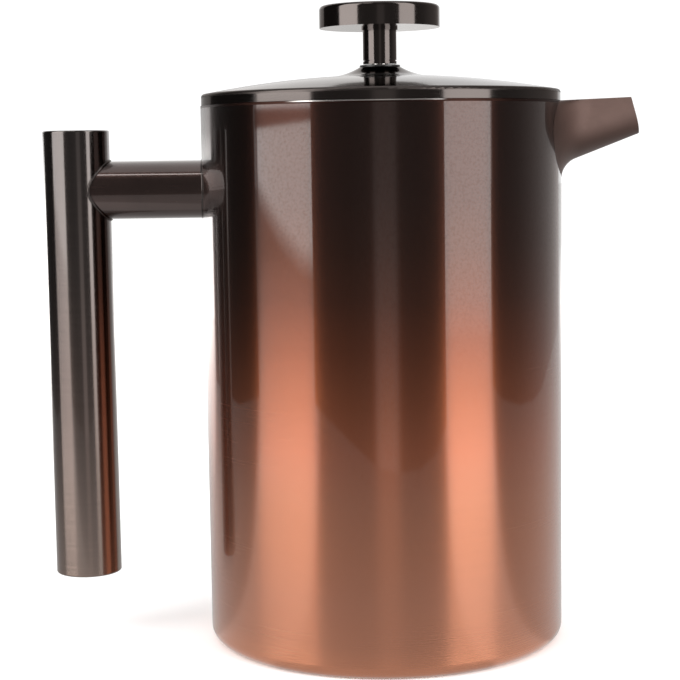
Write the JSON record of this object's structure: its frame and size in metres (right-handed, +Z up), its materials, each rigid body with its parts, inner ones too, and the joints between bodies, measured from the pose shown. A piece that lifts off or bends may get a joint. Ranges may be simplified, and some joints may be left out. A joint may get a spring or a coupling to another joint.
{
  "type": "french press",
  "caption": "Double-walled press pot with an upright tube handle, an open spout, a domed lid and a filter plunger that brews and strains coffee.",
  "frame": {"origin": "on the pot's axis, in the plane that its foot stands on", "axes": "+Z up along the pot's axis, +X towards the spout, -X towards the handle, Y across"},
  "size_m": [0.1745, 0.105, 0.1853],
  "materials": {
    "copper_lacquer": "clear gloss over brushed steel, shaded from dark brown at the rim to copper at the foot",
    "dark_lacquer": "glossy dark brown",
    "black_nickel": "mirror polished, dark warm grey",
    "brushed_gunmetal": "satin, brushed along the tube",
    "satin_steel": "satin stainless",
    "hidden_steel": "plain turned",
    "polished_steel": "polished stainless",
    "woven_steel": "fine woven wire cloth",
    "black_plastic": "matte"
  },
  "bodies": {
    "pot": {"outer_shell": "copper_lacquer", "inner_liner": "satin_steel", "base_plate": "satin_steel", "spout": "dark_lacquer", "spout_throat": "satin_steel", "handle_arm": "dark_lacquer", "arm_plug": "hidden_steel", "arm_backing_plate": "hidden_steel", "arm_bolts": "hidden_steel", "handle_grip": "brushed_gunmetal", "grip_top_cap": "brushed_gunmetal", "grip_bottom_cap": "brushed_gunmetal"},
    "lid": {"lid_dome": "black_nickel", "lid_plug": "satin_steel", "hub_eyelet": "satin_steel"},
    "bush": {"guide_bush": "black_plastic", "bush_clip": "satin_steel"},
    "plunger": {"knob_cap": "black_nickel", "knob_base": "black_nickel", "knob_insert": "hidden_steel", "stem_sleeve": "black_nickel", "stem_collar": "black_nickel", "plunger_rod": "polished_steel", "rod_collar": "polished_steel", "spring_plate": "satin_steel", "rim_spring": "polished_steel", "mesh_screen": "woven_steel", "cross_plate": "satin_steel", "filter_nut": "polished_steel"}
  },
  "joints": [
    {"name": "lid_lift", "type": "slide", "parent": "pot", "child": "lid", "axis": [0, 0, 1], "range_m": [0, 0.16]},
    {"name": "plunger_turn", "type": "hinge", "parent": "lid", "child": "bush", "pos_m": [0, 0, 0.16], "axis": [0, 0, 1], "continuous": true},
    {"name": "plunger_slide", "type": "slide", "parent": "bush", "child": "plunger", "axis": [0, 0, 1], "range_m": [0, 0.12]}
  ]
}
